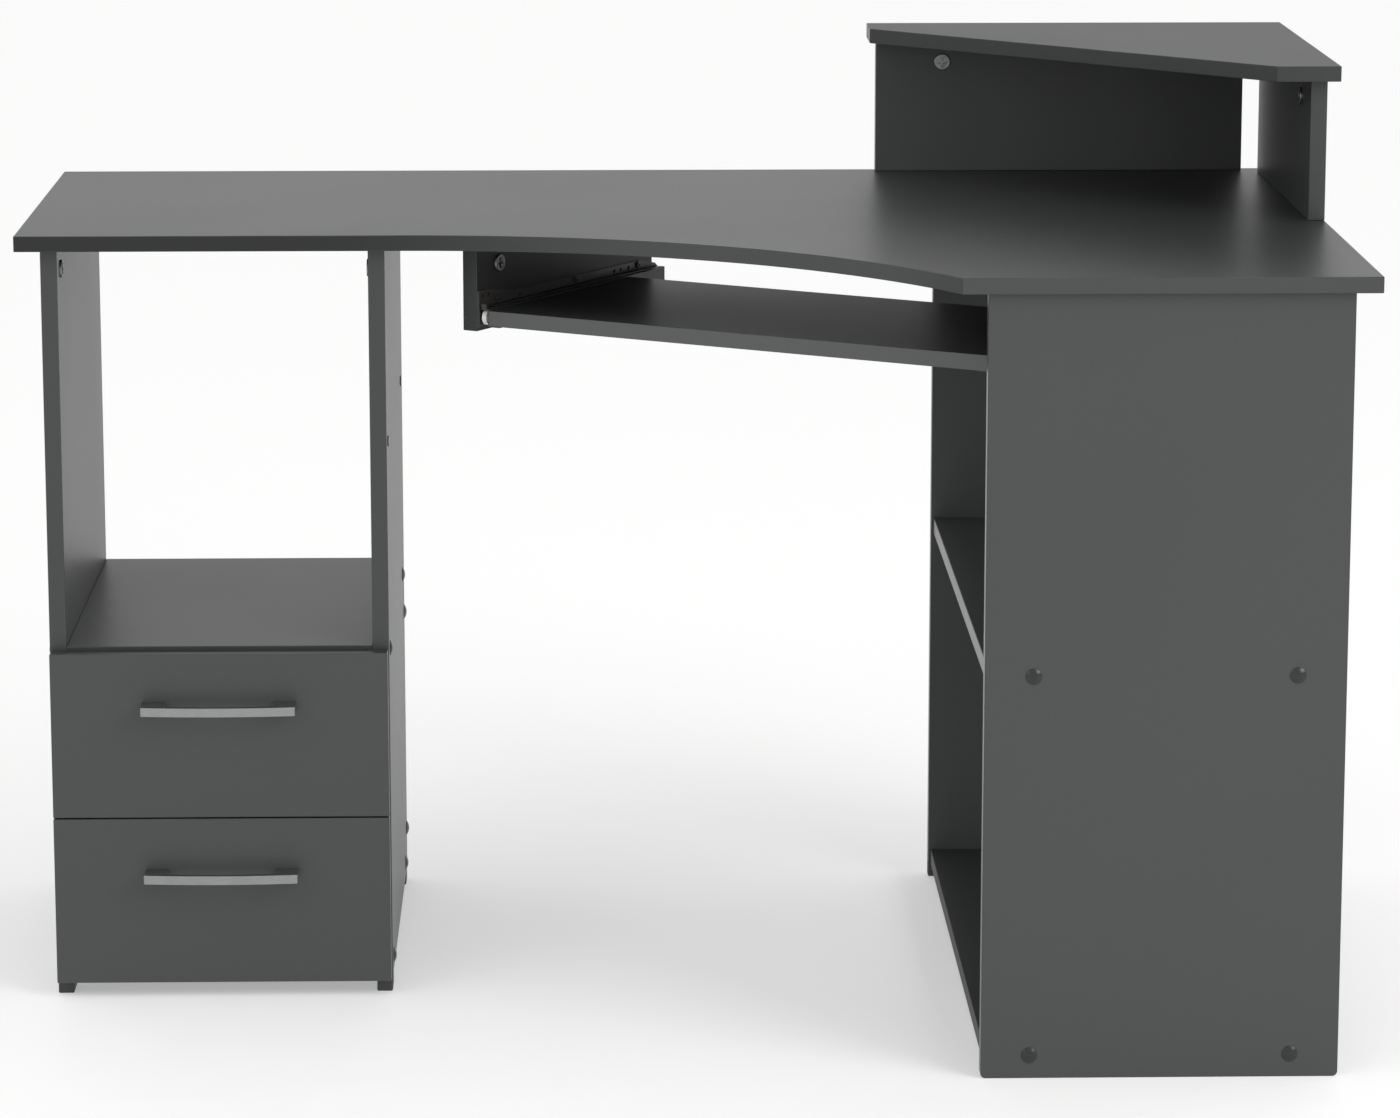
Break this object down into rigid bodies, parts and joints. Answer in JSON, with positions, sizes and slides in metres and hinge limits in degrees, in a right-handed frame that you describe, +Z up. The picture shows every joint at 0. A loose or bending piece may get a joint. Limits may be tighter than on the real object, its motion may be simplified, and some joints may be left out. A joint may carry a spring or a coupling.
{
  "type": "computer desk with keyboard tray",
  "caption": "Corner computer desk with a curved front, a raised monitor riser, a drawer pedestal, an open bookcase end and a sliding keyboard tray.",
  "frame": {"origin": "on the floor, under the centre of the whole desk's bounding box", "axes": "+X to the seated user's right, +Y away from the user, +Z up"},
  "size_m": [1.27, 0.805, 0.902],
  "materials": {
    "graphite_melamine": "matt graphite melamine on particle board",
    "satin_steel": "satin",
    "black_steel": "black powder coat",
    "white_nylon": "matt",
    "cam_alloy": "die cast, dull",
    "zinc_plated_steel": "zinc plated",
    "black_plastic": "matt",
    "dark_grey_plastic": "satin",
    "beech": "raw",
    "hardboard": "printed hardboard"
  },
  "bodies": {
    "frame": {"bookcase_floor": "graphite_melamine", "bookcase_front_panel": "graphite_melamine", "bookcase_rear_panel": "graphite_melamine", "bookcase_shelf": "graphite_melamine", "cam_bolts": "zinc_plated_steel", "cam_housings": "cam_alloy", "confirmat_screws": "zinc_plated_steel", "cover_caps": "dark_grey_plastic", "desktop": "graphite_melamine", "dowels": "beech", "feet": "black_plastic", "fixed_rail_screws": "black_steel", "lower_drawer_left_fixed_rail": "black_steel", "lower_drawer_right_fixed_rail": "black_steel", "pedestal_back": "graphite_melamine", "pedestal_floor": "graphite_melamine", "pedestal_inner_panel": "graphite_melamine", "pedestal_outer_panel": "graphite_melamine", "pedestal_shelf": "graphite_melamine", "riser_back_leg": "graphite_melamine", "riser_side_leg": "graphite_melamine", "riser_top": "graphite_melamine", "tray_left_bracket": "graphite_melamine", "tray_left_fixed_rail": "black_steel", "tray_right_bracket": "graphite_melamine", "tray_right_fixed_rail": "black_steel", "upper_drawer_left_fixed_rail": "black_steel", "upper_drawer_right_fixed_rail": "black_steel"},
    "upper_drawer": {"upper_drawer_back": "graphite_melamine", "upper_drawer_bottom": "hardboard", "upper_drawer_cam_fittings": "cam_alloy", "upper_drawer_front": "graphite_melamine", "upper_drawer_handle": "satin_steel", "upper_drawer_handle_screws": "zinc_plated_steel", "upper_drawer_left_moving_rail": "black_steel", "upper_drawer_left_side": "graphite_melamine", "upper_drawer_rail_screws": "black_steel", "upper_drawer_right_moving_rail": "black_steel", "upper_drawer_right_side": "graphite_melamine"},
    "lower_drawer": {"lower_drawer_back": "graphite_melamine", "lower_drawer_bottom": "hardboard", "lower_drawer_cam_fittings": "cam_alloy", "lower_drawer_front": "graphite_melamine", "lower_drawer_handle": "satin_steel", "lower_drawer_handle_screws": "zinc_plated_steel", "lower_drawer_left_moving_rail": "black_steel", "lower_drawer_left_side": "graphite_melamine", "lower_drawer_rail_screws": "black_steel", "lower_drawer_right_moving_rail": "black_steel", "lower_drawer_right_side": "graphite_melamine"},
    "tray": {"tray_board": "graphite_melamine", "tray_left_moving_rail": "black_steel", "tray_rail_screws": "black_steel", "tray_right_moving_rail": "black_steel"},
    "lower_drawer_front_rollers": {"lower_drawer_front_rollers": "white_nylon"},
    "lower_drawer_rear_rollers": {"lower_drawer_rear_rollers": "white_nylon"},
    "tray_front_rollers": {"tray_front_rollers": "white_nylon"},
    "tray_rear_rollers": {"tray_rear_rollers": "white_nylon"},
    "upper_drawer_front_rollers": {"upper_drawer_front_rollers": "white_nylon"},
    "upper_drawer_rear_rollers": {"upper_drawer_rear_rollers": "white_nylon"}
  },
  "joints": [
    {"name": "upper_drawer_slide", "type": "slide", "parent": "frame", "child": "upper_drawer", "axis": [0, -1, 0], "range_m": [0, 0.25]},
    {"name": "lower_drawer_slide", "type": "slide", "parent": "frame", "child": "lower_drawer", "axis": [0, -1, 0], "range_m": [0, 0.25]},
    {"name": "tray_slide", "type": "slide", "parent": "frame", "child": "tray", "axis": [-0.521, -0.8536, 0], "range_m": [0, 0.25]},
    {"name": "upper_drawer_front_roller_spin", "type": "hinge", "parent": "frame", "child": "upper_drawer_front_rollers", "pos_m": [-0.448, -0.0775, 0.2072], "axis": [1, 0, 0], "continuous": true},
    {"name": "upper_drawer_rear_roller_spin", "type": "hinge", "parent": "upper_drawer", "child": "upper_drawer_rear_rollers", "pos_m": [-0.448, 0.2255, 0.207], "axis": [1, 0, 0], "continuous": true},
    {"name": "lower_drawer_front_roller_spin", "type": "hinge", "parent": "frame", "child": "lower_drawer_front_rollers", "pos_m": [-0.448, -0.0775, 0.0532], "axis": [1, 0, 0], "continuous": true},
    {"name": "lower_drawer_rear_roller_spin", "type": "hinge", "parent": "lower_drawer", "child": "lower_drawer_rear_rollers", "pos_m": [-0.448, 0.2255, 0.053], "axis": [1, 0, 0], "continuous": true},
    {"name": "tray_front_roller_spin", "type": "hinge", "parent": "frame", "child": "tray_front_rollers", "pos_m": [0.04967, -0.19834, 0.6632], "axis": [0.8536, -0.521, 0], "continuous": true},
    {"name": "tray_rear_roller_spin", "type": "hinge", "parent": "tray", "child": "tray_rear_rollers", "pos_m": [0.20753, 0.06029, 0.663], "axis": [0.8536, -0.521, 0], "continuous": true}
  ],
  "couplings": [
    {"joint": "upper_drawer_front_roller_spin", "follows": "upper_drawer_slide", "rad_per_m": 135.14},
    {"joint": "upper_drawer_rear_roller_spin", "follows": "upper_drawer_slide", "rad_per_m": 135.14},
    {"joint": "lower_drawer_front_roller_spin", "follows": "lower_drawer_slide", "rad_per_m": 135.14},
    {"joint": "lower_drawer_rear_roller_spin", "follows": "lower_drawer_slide", "rad_per_m": 135.14},
    {"joint": "tray_front_roller_spin", "follows": "tray_slide", "rad_per_m": 135.14},
    {"joint": "tray_rear_roller_spin", "follows": "tray_slide", "rad_per_m": 135.14}
  ]
}
